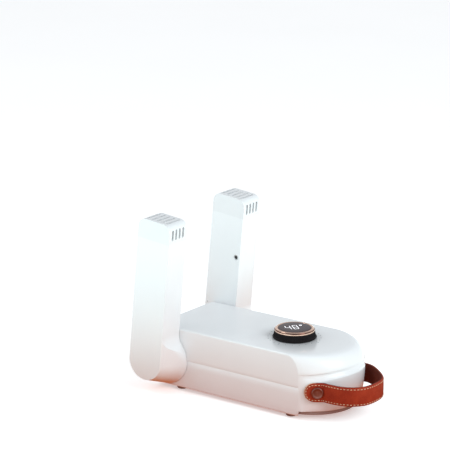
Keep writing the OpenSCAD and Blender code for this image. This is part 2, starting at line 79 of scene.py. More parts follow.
WALL = 2.5 * MM
EDGE_R = 2 * MM
REAR_R = 5 * MM
HOOD_L = 19 * MM
NOSE_L = 41.5 * MM
FRONT_R = 54 * MM
FRONT_A = math.radians(10)
CREASE_R = 6 * MM
SHELL_BEVEL = 0.05 * MM
PIVOT_HOLE_R = 10.1 * MM
DIAL_HOLE_R = 19.6 * MM
LIP_Z = BASE_Z + 46 * MM
LIP_SLOPE = 7 * MM / NOSE_L
FRONT_CX = CORNER_X + NOSE_L - FRONT_R

# The cheek arc leaves the front arc smoothly and ends at the corner of the flat side
CHEEK_DX = NOSE_L - FRONT_R + FRONT_R * math.cos(FRONT_A)
CHEEK_DY = HALF_W - FRONT_R * math.sin(FRONT_A)
CHEEK_RUN = CHEEK_DX * math.cos(FRONT_A) - CHEEK_DY * math.sin(FRONT_A)
CHEEK_R = (CHEEK_DX**2 + CHEEK_DY**2) / (2 * CHEEK_RUN)
CHEEK_CX = CORNER_X + CHEEK_DX - CHEEK_R * math.cos(FRONT_A)
CHEEK_CY = HALF_W - CHEEK_DY - CHEEK_R * math.sin(FRONT_A)

# Columns of the casing's plan: front arc, cheek arc, crease, flat side, rear corner, half of the rear
FRONT_N, CHEEK_N, CREASE_N, REAR_ARC_N, REAR_N = 5, 32, 6, 8, 5
FLAT_STEPS = (0.3, 0.8, 1.5, 2.2, 3.0, 6, 12, 40, 80, 120, 160)
NOSE_END = FRONT_N + CHEEK_N
CREASE_MID = NOSE_END + CREASE_N // 2
REAR_START = NOSE_END + CREASE_N + len(FLAT_STEPS) + 1


# ---- Mesh helpers ----


def in_mm(*points):
    """Points given in mm, in metres."""
    return [tuple(value * MM for value in point) for point in points]


def new_object(name, data):
    """A new object in the scene."""
    obj = bpy.data.objects.new(name, data)
    bpy.context.scene.collection.objects.link(obj)
    return obj


@contextmanager
def editing(mesh):
    """A mesh opened for editing, and written back afterwards."""
    bm = bmesh.new()
    bm.from_mesh(mesh)
    yield bm
    bm.to_mesh(mesh)
    bm.free()


def make_object(name, verts, faces):
    """A new mesh object with its loose vertices removed and its normals pointing out."""
    obj = new_object(name, bpy.data.meshes.new(name))
    obj.data.from_pydata([tuple(v) for v in verts], [], faces)
    obj.data.validate()
    with editing(obj.data) as bm:
        bmesh.ops.remove_doubles(bm, verts=bm.verts, dist=1e-7)
        bmesh.ops.delete(bm, geom=[v for v in bm.verts if not v.link_faces], context="VERTS")
        bmesh.ops.recalc_face_normals(bm, faces=bm.faces)
    return obj


def apply_modifiers(obj):
    """Replaces an object's mesh with the result of its modifiers."""
    bpy.context.view_layer.update()
    made = bpy.data.meshes.new_from_object(obj.evaluated_get(bpy.context.evaluated_depsgraph_get()))
    obj.modifiers.clear()
    old = obj.data
    obj.data = made
    bpy.data.meshes.remove(old)
    made.name = obj.name
    return obj


def boolean(obj, cutter, operation="DIFFERENCE"):
    """Cuts, joins or intersects obj with cutter, which is used up."""
    mod = obj.modifiers.new("cut", "BOOLEAN")
    mod.operation = operation
    mod.solver = "EXACT"
    mod.object = cutter
    apply_modifiers(obj)
    bpy.data.objects.remove(cutter)
    return obj


def thicken(obj, thickness):
    """Gives a skin whose normals point out a wall behind it."""
    mod = obj.modifiers.new("wall", "SOLIDIFY")
    mod.thickness = thickness
    mod.offset = -1
    mod.use_even_offset = True
    return apply_modifiers(obj)


def clean(obj):
    """Merges what a boolean leaves doubled and dissolves what it leaves flat."""
    tiny = 0.003 * MM
    with editing(obj.data) as bm:
        bmesh.ops.remove_doubles(bm, verts=bm.verts, dist=tiny)
        bmesh.ops.dissolve_degenerate(bm, edges=bm.edges, dist=tiny)
        bmesh.ops.dissolve_limit(bm, angle_limit=math.radians(0.4), verts=bm.verts, edges=bm.edges)
        bmesh.ops.recalc_face_normals(bm, faces=bm.faces)
    return obj


def soften(obj, width, segments, angle):
    """Rounds the edges that are sharper than an angle."""
    mod = obj.modifiers.new("soften", "BEVEL")
    mod.width = width
    mod.segments = segments
    mod.limit_method = "ANGLE"
    mod.angle_limit = math.radians(angle)
    mod.miter_outer = "MITER_ARC"
    mod.use_clamp_overlap = True
    return apply_modifiers(obj)


def shade(obj, angle=32):
    """Smooth shading, with edges sharper than an angle kept crisp."""
    obj.data.shade_smooth()
    obj.data.set_sharp_from_angle(angle=math.radians(angle))
    return obj


def weight_normals(obj):
    """Keeps flat faces flat next to rounded edges."""
    mod = obj.modifiers.new("normals", "WEIGHTED_NORMAL")
    mod.keep_sharp = True
    mod.weight = 80


def dress(obj, material, body, replaced=()):
    """Gives a piece its material, hangs it on the body it rides on, and hides the CAD nodes it replaces."""
    if not obj.data.materials:
        obj.data.materials.append(material)
    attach(obj, body)
    if replaced:
        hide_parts(*replaced)


def ring_faces(rings, count, closed=True):
    """Quads between successive rings of a grid."""
    faces = []
    for i in range(rings - 1):
        for j in range(count if closed else count - 1):
            a = i * count + j
            b = i * count + (j + 1) % count
            faces.append((a, b, b + count, a + count))
    return faces


def last_to_first(rings, count):
    """Quads that close a grid of rings into a tube, from its last ring to its first."""
    last = (rings - 1) * count
    return [(last + k, last + (k + 1) % count, (k + 1) % count, k) for k in range(count)]


def end_caps(rings, count):
    """A face across the first ring of a grid, and one across the last."""
    last = (rings - 1) * count
    return [tuple(range(count)), tuple(range(last, last + count))]


def shifted(faces, base):
    """Faces whose vertices start at a base index instead of 0."""
    return [tuple(base + v for v in face) for face in faces]


def lathe(name, profile, steps, centre):
    """A solid or ring turned about Z from a closed profile of (radius, height)."""
    verts, faces = [], []
    n = len(profile)
    for k in range(steps):
        a = 2 * math.pi * k / steps
        for r, z in profile:
            verts.append(centre + Vector((r * math.cos(a), r * math.sin(a), z)))
    for k in range(steps):
        for i in range(n):
            a, b = k * n + i, k * n + (i + 1) % n
            c, d = ((k + 1) % steps) * n + (i + 1) % n, ((k + 1) % steps) * n + i
            faces.append((a, b, c, d))
    return make_object(name, verts, faces)


def arc(cx, cy, r, a0, a1, steps):
    """Points of an arc, with both its ends. Angles in degrees."""
    found = []
    for i in range(steps + 1):
        a = math.radians(a0 + (a1 - a0) * i / steps)
        found.append((cx + r * math.cos(a), cy + r * math.sin(a)))
    return found


def box_object(name, low, high):
    """A box between two corners."""
    xs, ys, zs = zip(low, high)
    verts = [Vector((x, y, z)) for x in xs for y in ys for z in zs]
    faces = [(0, 1, 3, 2), (4, 6, 7, 5), (0, 4, 5, 1), (2, 3, 7, 6), (0, 2, 6, 4), (1, 5, 7, 3)]
    return make_object(name, verts, faces)


def extrude(name, outline, place, t0, t1):
    """A prism: place(u, v, t) turns an outline point and a depth into a vector."""
    n = len(outline)
    verts = [place(u, v, t) for t in (t0, t1) for u, v in outline]
    faces = [tuple(range(n)), tuple(range(2 * n - 1, n - 1, -1))]
    faces += [(j, (j + 1) % n, (j + 1) % n + n, j + n) for j in range(n)]
    return make_object(name, verts, faces)


def catmull_rom(a, b, c, d, t):
    """A value part of the way from b to c on a smooth curve through a, b, c and d."""
    bend = (2 * a - 5 * b + 4 * c - d) * t * t + (3 * b - a - 3 * c + d) * t**3
    return 0.5 * (2 * b + (c - a) * t + bend)


def smooth_path(points, steps):
    """A smooth curve through points of any dimension, with some steps between each two."""
    found = []
    ends = [points[0], *points, points[-1]]
    for i in range(1, len(ends) - 2):
        p0, p1, p2, p3 = ends[i - 1 : i + 3]
        for k in range(steps):
            found.append(tuple(catmull_rom(a, b, c, d, k / steps) for a, b, c, d in zip(p0, p1, p2, p3)))
    return found + [tuple(points[-1])]


# ---- Materials ----


class Nodes:
    """A material with a few short ways to add nodes to it."""

    def __init__(self, name):
        self.material = bpy.data.materials.new(name)
        self.material.use_nodes = True
        self.tree = self.material.node_tree
        self.shader = self.tree.nodes["Principled BSDF"]
        self.place = self.add("ShaderNodeTexCoord").outputs["Object"]

    def add(self, kind, **settings):
        node = self.tree.nodes.new(kind)
        for key, value in settings.items():
            setattr(node, key, value)
        return node

    def link(self, source, target):
        self.tree.links.new(source, target)

    def noise(self, scale, detail=2.0, roughness=0.5):
        node = self.add("ShaderNodeTexNoise")
        node.inputs["Scale"].default_value = scale
        node.inputs["Detail"].default_value = detail
        node.inputs["Roughness"].default_value = roughness
        self.link(self.place, node.inputs["Vector"])
        return node.outputs["Fac"]

    def cells(self, scale, feature="F1"):
        node = self.add("ShaderNodeTexVoronoi", feature=feature)
        node.inputs["Scale"].default_value = scale
        self.link(self.place, node.inputs["Vector"])
        return node.outputs["Distance"]

    def ramp(self, source, *stops):
        """A colour ramp from (position, colour) stops."""
        node = self.add("ShaderNodeValToRGB")
        while len(node.color_ramp.elements) < len(stops):
            node.color_ramp.elements.new(0.5)
        for element, (position, colour) in zip(node.color_ramp.elements, stops):
            element.position = position
            element.color = (*colour, 1)
        self.link(source, node.inputs["Fac"])
        return node.outputs["Color"]

    def scaled(self, source, low, high):
        node = self.add("ShaderNodeMapRange")
        node.inputs["To Min"].default_value = low
        node.inputs["To Max"].default_value = high
        self.link(source, node.inputs["Value"])
        return node.outputs["Result"]

    def sum(self, a, b, weight):
        node = self.add("ShaderNodeMath", operation="MULTIPLY_ADD")
        self.link(b, node.inputs[0])
        node.inputs[1].default_value = weight
        self.link(a, node.inputs[2])
        return node.outputs["Value"]

    def bump(self, height, depth):
        node = self.add("ShaderNodeBump")
        node.inputs["Strength"].default_value = 1.0
        node.inputs["Distance"].default_value = depth
        self.link(height, node.inputs["Height"])
        self.link(node.outputs["Normal"], self.shader.inputs["Normal"])

    def set(self, **values):
        for key, value in values.items():
            self.shader.inputs[key.replace("_", " ")].default_value = value

    def colour(self, output):
        self.link(output, self.shader.inputs["Base Color"])

    def rough(self, output):
        self.link(output, self.shader.inputs["Roughness"])


def moulded_plastic(name, light, dark, gloss, grain, depth, coat=0.0, shine=0.5):
    """Moulded plastic: faint cloudy tint, uneven polish and a fine surface grain."""
    m = Nodes(name)
    m.colour(m.ramp(m.noise(22, 3), (0.3, dark), (0.7, light)))
    m.rough(m.scaled(m.noise(60, 4), gloss * 0.9, gloss * 1.15))
    m.bump(m.sum(m.noise(grain, 2), m.noise(grain * 0.12, 1), 3.0), depth)
    m.set(Coat_Weight=coat, Coat_Roughness=0.12, IOR=1.49, Specular_IOR_Level=shine)
    return m.material


def metal(name, light, dark, gloss, brush=0.0):
    """Plated or plain metal, with fine wear in its polish and, if brushed, fine lines across it."""
    m = Nodes(name)
    m.colour(m.ramp(m.noise(350, 3), (0.3, dark), (0.7, light)))
    m.rough(m.scaled(m.noise(900, 4), gloss * 0.8, gloss * 1.3))
    m.set(Metallic=1.0)
    stretch = m.add("ShaderNodeMapping")
    stretch.inputs["Scale"].default_value = (200, 200, 6000)
    m.link(m.place, stretch.inputs["Vector"])
    lines = m.add("ShaderNodeTexNoise")
    lines.inputs["Scale"].default_value = 1.0
    m.link(stretch.outputs["Vector"], lines.inputs["Vector"])
    m.bump(lines.outputs["Fac"], brush + 0.001 * MM)
    return m.material


def leather(name, light, mid, dark, gloss):
    """Grained leather: pebbles with fine creases, and a colour that pools in patches."""
    m = Nodes(name)
    patches = m.sum(m.noise(70, 5, 0.6), m.cells(900), 0.35)
    m.colour(m.ramp(patches, (0.25, dark), (0.55, mid), (0.85, light)))
    m.rough(m.scaled(m.noise(500, 4), gloss * 0.85, gloss * 1.2))
    grain = m.sum(m.cells(1500, "SMOOTH_F1"), m.noise(2600, 4), 0.5)
    m.bump(m.sum(grain, m.noise(160, 3), 1.2), 0.22 * MM)
    m.set(IOR=1.4, Specular_IOR_Level=0.3)
    return m.material


def thread(name, light, dark):
    """Waxed thread with a fine twist."""
    m = Nodes(name)
    wave = m.add("ShaderNodeTexWave", bands_direction="DIAGONAL")
    wave.inputs["Scale"].default_value = 900
    m.link(m.place, wave.inputs["Vector"])
    m.colour(m.ramp(wave.outputs["Fac"], (0.1, dark), (0.8, light)))
    m.bump(wave.outputs["Fac"], 0.08 * MM)
    m.set(Roughness=0.6)
    return m.material


def glowing(name, colour, strength):
    """Lit segments, a little uneven along their length."""
    m = Nodes(name)
    m.colour(m.ramp(m.noise(500), (0.2, tuple(0.85 * c for c in colour)), (0.8, colour)))
    m.set(Emission_Color=(*colour, 1), Emission_Strength=strength, Roughness=0.4)
    return m.material


white = moulded_plastic("gloss_white", (0.84, 0.86, 0.875), (0.82, 0.842, 0.858), 0.3, 1400, 0.012 * MM, 0.35)
satin = moulded_plastic("satin_white", (0.80, 0.82, 0.835), (0.77, 0.79, 0.805), 0.42, 1400, 0.02 * MM, 0.1)
taupe = moulded_plastic("taupe", (0.36, 0.27, 0.25), (0.31, 0.23, 0.21), 0.5, 1800, 0.03 * MM)
rubber = moulded_plastic("soft_rubber", (0.26, 0.19, 0.17), (0.21, 0.155, 0.14), 0.62, 2200, 0.05 * MM)
ribbed_black = moulded_plastic(
    "dark_skirt", (0.010, 0.007, 0.008), (0.006, 0.004, 0.005), 0.5, 1800, 0.02 * MM, 0.0, 0.12
)
dark_plastic = moulded_plastic(
    "dark_plastic", (0.035, 0.033, 0.035), (0.02, 0.02, 0.022), 0.45, 1600, 0.03 * MM
)
window = moulded_plastic(
    "smoked_window", (0.045, 0.020, 0.025), (0.034, 0.015, 0.019), 0.12, 900, 0.001 * MM, 0.0, 0.22
)
grey_ink = moulded_plastic("grey_ink", (0.30, 0.33, 0.35), (0.22, 0.25, 0.27), 0.55, 2400, 0.01 * MM)
duct = moulded_plastic("duct_plastic", (0.16, 0.17, 0.18), (0.12, 0.125, 0.135), 0.5, 1500, 0.03 * MM)
acetal = moulded_plastic("bush_plastic", (0.60, 0.57, 0.48), (0.54, 0.51, 0.43), 0.35, 1500, 0.02 * MM)
board_green = moulded_plastic(
    "board_green", (0.03, 0.16, 0.07), (0.015, 0.09, 0.04), 0.3, 1200, 0.02 * MM, 0.3
)
mica = moulded_plastic("mica_board", (0.42, 0.32, 0.18), (0.32, 0.24, 0.13), 0.55, 700, 0.05 * MM)
winding = moulded_plastic("copper_winding", (0.42, 0.28, 0.06), (0.30, 0.18, 0.04), 0.4, 600, 0.06 * MM)
rose_gold = metal("rose_gold", (0.86, 0.62, 0.50), (0.74, 0.48, 0.37), 0.11)
# A dark copy of the rose gold: painted dark reflection for the ring's groove band
painted_dark_reflection = metal("painted_dark_reflection", (0.20, 0.085, 0.065), (0.13, 0.05, 0.04), 0.16)
rivet_metal = metal("rivet_copper", (0.30, 0.13, 0.11), (0.22, 0.09, 0.075), 0.3, 0.02 * MM)
steel = metal("steel", (0.62, 0.63, 0.64), (0.50, 0.51, 0.52), 0.28, 0.01 * MM)
aluminium = metal("fin_aluminium", (0.72, 0.73, 0.74), (0.62, 0.63, 0.64), 0.35, 0.01 * MM)
saddle = leather("saddle_leather", (0.34, 0.034, 0.009), (0.27, 0.021, 0.005), (0.19, 0.012, 0.003), 0.55)
lining = leather("lining_leather", (0.15, 0.028, 0.014), (0.11, 0.018, 0.009), (0.07, 0.010, 0.005), 0.75)
cream_edge = leather("cream_edge", (0.80, 0.56, 0.40), (0.70, 0.46, 0.31), (0.58, 0.36, 0.23), 0.6)
cream_thread = thread("cream_thread", (0.80, 0.58, 0.38), (0.55, 0.34, 0.2))
lit_white = glowing("lit_segments", (0.95, 0.97, 1.0), 0.9)

CAD_LOOKS = {
    "intake_grille": taupe, "base_screws": steel, "dial_marks": grey_ink, "dial_seat": satin,
    "display_holder": dark_plastic, "push_switch": dark_plastic, "dial_encoder": board_green,
    "main_board": board_green, "power_transformer": winding, "board_posts": satin, "fan_housing": duct,
    "fan_motor": steel, "fan_wheel": duct, "heater_frame": mica, "heater_fins": aluminium, "air_duct": duct,
    "mains_inlet": dark_plastic, "inlet_pins": steel, "pivot_tube_right": steel, "pivot_tube_left": steel,
    "pivot_clip_right": steel, "pivot_clip_left": steel, "arm_bush_right": acetal, "arm_bush_left": acetal,
}


def paint_cad_nodes():
    """Gives the CAD nodes that stay in view, or inside, their materials."""
    for name, material in CAD_LOOKS.items():
        node = frame["nodes"][name]
        node.data.materials.clear()
        node.data.materials.append(material)


# ---- Casing ----


def half_plan(inset, back):
    """Left half of the casing in plan, set in all round and with its nose pulled back."""
    cheek_r = CHEEK_R - inset
    cheek_x = CHEEK_CX - back
    crease_y = HALF_W - inset - CREASE_R
    rise = crease_y - CHEEK_CY
    run = math.sqrt((cheek_r - CREASE_R) ** 2 - rise**2)
    crease_x = cheek_x + run
    crease_a = math.degrees(math.atan2(rise, run))
    front_deg = math.degrees(FRONT_A)
    rear_r = max(REAR_R - inset, 0.5 * MM)
    points = arc(FRONT_CX - back, 0, FRONT_R - inset, 0, front_deg, FRONT_N)
    points += arc(cheek_x, CHEEK_CY, cheek_r, front_deg, crease_a, CHEEK_N)[1:]
    points += arc(crease_x, crease_y, CREASE_R, crease_a, 90, CREASE_N)[1:]
    points += [(crease_x - step * MM, HALF_W - inset) for step in FLAT_STEPS]
    points += arc(REAR_X + REAR_R, HALF_W - REAR_R, rear_r, 90, 180, REAR_ARC_N)
    rear_y = HALF_W - REAR_R
    points += [(REAR_X + REAR_R - rear_r, rear_y * (1 - k / REAR_N)) for k in range(1, REAR_N + 1)]
    return points


def plan(inset, back):
    """The whole casing in plan, from the nose's tip round the left side and back."""
    half = half_plan(inset, back)
    return half + [(x, -y) for x, y in reversed(half[1:-1])]


PLAN_N = len(plan(0, 0))


def column_side(j):
    """How far a column of the plan is from the middle of the nose, in columns."""
    return min(j, PLAN_N - j)


def columns_from_nose(face):
    """How near a face of a stack of plans comes to the middle of the nose, in columns."""
    return min(column_side(v % PLAN_N) for v in face)


def skin_rows(rows):
    """Vertices of a stack of plans, each row given as (height, inset, back)."""
    return [Vector((x, y, z)) for z, inset, back in rows for x, y in plan(inset, back)]


def round_rows(z, inset, back, r):
    """Rows up a rounded lower edge that starts at a height."""
    rows = []
    for a in range(0, 91, 15):
        c, s = math.cos(math.radians(a)), math.sin(math.radians(a))
        rows.append((z + r * (1 - c), inset + r * (1 - s), back))
    return rows


def hood_level(z):
    """(height, inset, back) of the hood at a height."""
    rise = min(1.0, (z - LIP_Z) / (TOP_Z - LIP_Z))
    back = HOOD_L * (1 - math.sqrt(max(0.0, 1 - rise**2)))
    over = max(0.0, z - (TOP_Z - EDGE_R))
    inset = EDGE_R - math.sqrt(max(0.0, EDGE_R**2 - over**2))
    return (z, inset, back)


def above_lip(x):
    """How much higher the sloping lip is here than at the front end of the flat sides."""
    return LIP_SLOPE * max(0.0, x - CORNER_X)


def hood_row(share):
    """One row of the hood, part of the way from its sloping lip to the top edge."""
    edge_z = TOP_Z - EDGE_R
    row = []
    for j, (x, y) in enumerate(plan(0, 0)):
        lip = LIP_Z + above_lip(x)
        z, _, back = hood_level(lip + (edge_z - lip) * share)
        row.append(Vector((x - (back if column_side(j) < REAR_START else 0), y, z)))
    return row


def make_upper_shell():
    """The top casing: flat sides up to a crisp rounded edge, and a hood that rolls down over the nose."""
    low_rows = [(z, 0, 0) for z in (SEAM_HIGH, SEAM_HIGH + 3 * MM, SEAM_HIGH + 9 * MM)]
    verts = skin_rows(low_rows)
    for a in range(0, 90, 6):
        verts += hood_row(math.sin(math.radians(a)))
    edge = [TOP_Z - EDGE_R + EDGE_R * math.sin(math.radians(a)) for a in range(0, 91, 9)]
    verts += skin_rows([hood_level(z) for z in edge])
    hood_start = len(low_rows) * PLAN_N
    faces = ring_faces(len(verts) // PLAN_N, PLAN_N)
    faces = [f for f in faces if f[0] >= hood_start or columns_from_nose(f) >= CREASE_MID]
    obj = make_object("upper_shell_skin", verts, faces)
    with editing(obj.data) as bm:
        rim = [e for e in bm.edges if e.is_boundary and min(v.co.z for v in e.verts) > TOP_Z - 0.01 * MM]
        hole = [bm.verts.new((DIAL.x + x, y, TOP_Z)) for x, y in arc(0, 0, DIAL_HOLE_R, 0, 360, 72)[:-1]]
        hole_edges = [bm.edges.new((hole[k], hole[(k + 1) % len(hole)])) for k in range(len(hole))]
        bmesh.ops.triangle_fill(bm, edges=rim + hole_edges, use_beauty=True, normal=(0, 0, 1))
        bmesh.ops.recalc_face_normals(bm, faces=bm.faces)
        if sum(f.normal.z * f.calc_area() for f in bm.faces) < 0:
            bmesh.ops.reverse_faces(bm, faces=bm.faces)
    thicken(obj, WALL)
    cut_pivot_holes(obj)
    soften(obj, SHELL_BEVEL, 2, 50)
    return shade(obj)


def across_pivots(u, v, t):
    """A place beside the arms' axis, t across the casing."""
    return Vector((PIVOT.x + u, t, PIVOT.z + v))


def cut_pivot_holes(obj):
    """Bores both flat sides for the arms' pivot tubes."""
    outline = arc(0, 0, PIVOT_HOLE_R, 0, 360, 48)[:-1]
    past = HALF_W + 5 * MM
    boolean(obj, extrude("pivot_hole", outline, across_pivots, -past, past))


def make_lower_shell():
    """The lower casing: flat sides and rear with a rounded lower edge, open under the nose."""
    rows = round_rows(BASE_Z, 0, 0, 1.6 * MM)
    rows += [(z, 0, 0) for z in (BASE_Z + 6 * MM, BASE_Z + 14 * MM, BASE_Z + 24 * MM, SEAM_LOW)]
    verts = skin_rows(rows)
    toe_r = 4.5 * MM
    toe_x = CORNER_X + 0.7 * MM - toe_r
    for v in verts:
        reach = v.x - toe_x
        if reach > 0 and abs(v.y) > HALF_W - 4 * MM:
            lift = toe_r - math.sqrt(max(0.0, toe_r**2 - min(reach, toe_r) ** 2))
            v.z += lift * max(0.0, 1 - (v.z - BASE_Z) / (SEAM_LOW - BASE_Z))
    faces = [f for f in ring_faces(len(rows), PLAN_N) if columns_from_nose(f) >= CREASE_MID]
    obj = make_object("lower_shell_skin", verts, faces)
    face_out(obj)
    thicken(obj, WALL)
    cut_pivot_holes(obj)
    inlet_low, inlet_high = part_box("mains_inlet")
    gap = 0.1 * MM
    half_h = (inlet_high.z - inlet_low.z) / 2 + gap
    reach = (inlet_high.y - inlet_low.y) / 2 + gap - half_h
    middle = (inlet_high.z + inlet_low.z) / 2
    outline = arc(reach, 0, half_h, -90, 90, 16) + arc(-reach, 0, half_h, 90, 270, 16)

    def through_rear(u, v, t):
        return Vector((t, u, middle + v))

    boolean(obj, extrude("inlet_hole", outline, through_rear, REAR_X - 5 * MM, REAR_X + 8 * MM))
    soften(obj, SHELL_BEVEL, 2, 50)
    return shade(obj)


def face_out(obj):
    """Turns an open skin's faces away from the casing's middle line."""
    middle = Vector(((REAR_X + NOSE_X) / 2, 0, 0))
    out = 0
    with editing(obj.data) as bm:
        for f in bm.faces:
            away = f.calc_center_median() - middle
            away.z = 0
            out += f.normal.dot(away) * f.calc_area()
        if out < 0:
            bmesh.ops.reverse_faces(bm, faces=bm.faces)


# Length over which the fascia draws in from flush with the flat sides
BLEND_L = 20 * MM
# The fascia from bottom to top: height above the lower edge, draw-in all round, draw-in of its front
FASCIA_MM = (
    (6, 0.9, 5.4), (10, 0.6, 4.2), (24, 0.2, 1.7), (36, 0.1, 0.3),
    (38.5, 0.15, 0.5), (40.5, 0.4, 1.1), (42, 0.8, 1.9), (44, 1.0, 2.3), (45.7, 1.1, 2.4),
)
# Heights where the fascia starts to follow the lip's slope, and where it follows it fully
FOLLOW_MM = (24, 36)


def make_bumper():
    """The nose's lower front: a tucked-in fascia, a soft shoulder, and a shallow cove under the hood."""
    verts, count = [], 0
    rows = smooth_path(FASCIA_MM, 6)
    for height, inset, back in rows:
        flush = half_plan(0.03 * MM, 0)[:CREASE_MID + 1]
        tucked = half_plan(inset * MM, back * MM)[:CREASE_MID + 1]
        half = []
        for edge, deep in zip(flush, tucked):
            share = min(max((edge[0] - CORNER_X) / BLEND_L, 0.0), 1.0)
            half.append(tuple(Vector(edge).lerp(deep, share * share * (3 - 2 * share))))
        whole = [(x, -y) for x, y in reversed(half[1:])] + half
        count = len(whole)
        start, full = FOLLOW_MM
        follow = min(max((height - start) / (full - start), 0.0), 1.0)
        z = BASE_Z + height * MM
        verts += [Vector((x, y, z + follow * above_lip(x + back * MM))) for x, y in whole]
    obj = make_object("bumper_skin", verts, ring_faces(len(rows), count, closed=False))
    face_out(obj)
    thicken(obj, WALL)
    soften(obj, 0.3 * MM, 2, 50)
    return shade(obj)


def make_base_plate():
    """The taupe base: a tray set in under the casing, its rim showing below the nose."""
    low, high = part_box("base_plate")
    inset, back = 3.2 * MM, 5 * MM
    rows = round_rows(low.z, inset, back, 1.2 * MM)
    rows += [(high.z, inset, back), (high.z, inset + 2 * MM, back), (low.z + WALL, inset + 2 * MM, back)]
    verts = skin_rows(rows)
    faces = ring_faces(len(rows), PLAN_N) + end_caps(len(rows), PLAN_N)
    obj = make_object("base_tray", verts, faces)
    g_low, g_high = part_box("intake_grille")
    margin = Vector((0.1 * MM, 0.1 * MM, 10 * MM))
    boolean(obj, box_object("grille_hole", g_low - margin, g_high + margin))
    return shade(obj)


def make_foot(name):
    """A round rubber foot with a soft lower edge and a shallow ring under it."""
    low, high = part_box(name)
    centre = Vector(((low.x + high.x) / 2, (low.y + high.y) / 2, 0))
    r, tiny = (high.x - low.x) / 2 / MM, 0.0001
    profile = in_mm(
        (tiny, 0.5), (r * 0.5, 0.5), (r * 0.58, 0.1), (r * 0.66, 0), (r - 1.3, 0),
        (r - 0.6, 0.2), (r - 0.15, 0.7), (r, 1.4), (r, 4.9), (tiny, 4.9),
    )
    return shade(lathe(name + "_pad", profile, 48, centre), 40)


# ---- Arms ----

ARM_T = 31 * MM
COVER_T = 3 * MM
BAR_FRONT = 15 * MM
BAR_W = 43 * MM
BAR_MID = BAR_FRONT - BAR_W / 2
TONGUE_R = BAR_W / 2
TONGUE_Z = 2 * MM
DRUM_R = 29 * MM
DRUM_T = 2 * MM
BLEND_R = 20 * MM
BLEND_Z = math.sqrt((DRUM_R + BLEND_R) ** 2 - (BAR_FRONT + BLEND_R) ** 2)
OUTLET_Z = 143 * MM
ARM_L = 165 * MM
OUTLET_R = 9 * MM
ARM_WALL = 2.5 * MM
LEAN = math.radians(5.5)


def on_arm(x, z, out):
    """A place in an arm's own axes: the pivot at zero, Z along the arm, and Y out of its inner face."""
    return Vector((x, out, z))


def stand_arm(obj, side):
    """Moves a piece made in an arm's own axes to where that side's arm stands."""
    where = Matrix.Translation((PIVOT.x, side * PIVOT.y, PIVOT.z))
    obj.data.transform(where @ Matrix.Diagonal((1, side, 1, 1)) @ Matrix.Rotation(LEAN, 4, "Y"))
    if side == RIGHT:
        obj.data.flip_normals()
    return obj


def tongue_outline(inset, top):
    """The bar's outline up to a height, with its round lower end."""
    r = TONGUE_R - inset
    return [(BAR_MID + r, top)] + arc(BAR_MID, TONGUE_Z, r, 0, -180, 48) + [(BAR_MID - r, top)]


def drum_outline():
    """The inner face's outline below the bar: a hollow curve that flows into the round drum."""
    meet = math.degrees(math.atan2(BLEND_Z, BAR_FRONT + BLEND_R))
    blend = arc(BAR_FRONT + BLEND_R, BLEND_Z, BLEND_R, 180, 180 + meet, 14)
    behind = math.degrees(math.acos(-(BAR_W - BAR_FRONT) / DRUM_R))
    drum = arc(0, 0, DRUM_R, meet, behind - 360, 96)
    return blend + drum[1:] + [(BAR_MID - TONGUE_R, BLEND_Z)]


def hull_object(name, points):
    """The convex solid round some points."""
    bm = bmesh.new()
    for p in points:
        bm.verts.new(p)
    made = bmesh.ops.convex_hull(bm, input=bm.verts)
    spare = set(made["geom_interior"] + made["geom_unused"])
    inside = [item for item in spare if isinstance(item, bmesh.types.BMVert)]
    bmesh.ops.delete(bm, geom=inside, context="VERTS")
    mesh = bpy.data.meshes.new(name)
    bm.to_mesh(mesh)
    bm.free()
    return new_object(name, mesh)


def make_arm_body(name):
    """An arm below its outlet: a bar with a round lower end, slanting out to the larger drum inside."""
    hull_points = [on_arm(x, z, out) for x, z in drum_outline() for out in (0, DRUM_T)]
    hull_points += [on_arm(x, z, ARM_T) for x, z in tongue_outline(0, BLEND_Z)]
    swell = extrude("arm_swell", drum_outline(), on_arm, 0, ARM_T)
    boolean(swell, hull_object("arm_hull", hull_points), "INTERSECT")
    clean(swell)
    bar = extrude(name, tongue_outline(0, OUTLET_Z), on_arm, 0, ARM_T)
    return clean(boolean(bar, swell, "UNION"))


def arm_slab(out0, out1):
    """A box that takes in an arm between two distances from its inner face."""
    outline = [(-60 * MM, -60 * MM), (60 * MM, -60 * MM), (60 * MM, 200 * MM), (-60 * MM, 200 * MM)]
    return extrude("arm_slab", outline, on_arm, out0, out1)


def round_bar(name, x, z, r, out0, out1):
    """A round bar that runs outward through an arm, for boring a hole or as a piece."""
    return extrude(name, arc(x, z, r, 0, 360, 48)[:-1], on_arm, out0, out1)


VENT_X, VENT_Z, VENT_R = 9.8 * MM, 96 * MM, 3.2 * MM


def make_arm(side):
    """One whole arm: its hollow housing, its cover, and the small pieces on them."""
    name = SIDES[side]
    body = name + "_arm"
    seam = 0.06 * MM

    housing = make_arm_body("arm_housing_" + name + "_skin")
    boolean(housing, arm_slab(ARM_T - COVER_T, ARM_T + 5 * MM))
    cavity = extrude("arm_cavity", tongue_outline(ARM_WALL, ARM_L), on_arm, ARM_WALL, ARM_T)
    boolean(housing, cavity)
    boolean(housing, round_bar("vent_hole", VENT_X, VENT_Z, VENT_R, -2 * MM, ARM_WALL + 2 * MM))
    boolean(housing, round_bar("bush_hole", 0, 0, 13 * MM, -2 * MM, ARM_T))
    cover = make_arm_body("arm_cover_" + name + "_skin")
    boolean(cover, arm_slab(-5 * MM, ARM_T - COVER_T + seam))
    for obj in (housing, cover):
        soften(clean(obj), 0.5 * MM, 3, 18)
        weight_normals(shade(stand_arm(obj, side), 24))
    dress(housing, white, body, ["arm_housing_" + name])
    dress(cover, white, body, ["arm_cover_" + name])
    make_outlet(side, body, name)
    make_vent(side, body, name)
    make_arm_marks(side, body, name)


